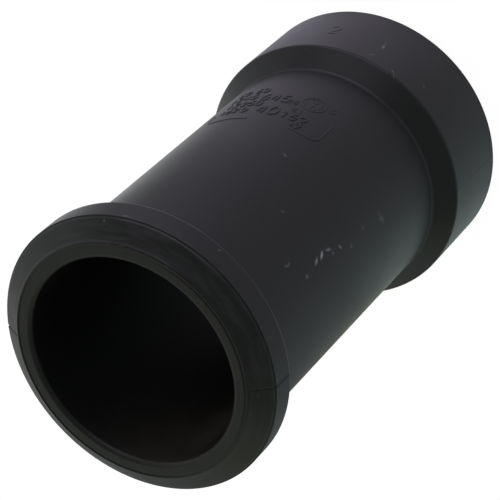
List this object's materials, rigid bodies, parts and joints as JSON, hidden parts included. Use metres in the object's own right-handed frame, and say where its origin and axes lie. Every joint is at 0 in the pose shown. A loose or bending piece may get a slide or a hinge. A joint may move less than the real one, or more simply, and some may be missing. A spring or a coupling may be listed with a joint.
{
  "type": "abs soil pipe adapter",
  "caption": "One-piece moulded drain pipe adapter: a straight tube with a cement socket at one end and a chamfered bead at the other.",
  "frame": {"origin": "centre of the hub's rim, in the plane that the adapter stands on", "axes": "+Z along the bore, from the hub towards the beaded end; the two mould parting lines lie 45 degrees counter-clockwise from +X and from -X, seen from above"},
  "size_m": [0.0698, 0.0698, 0.1229],
  "materials": {
    "moulded_abs": "smooth moulded black ABS, satin"
  },
  "bodies": {
    "root": {"adapter_body": "moulded_abs"}
  },
  "joints": []
}
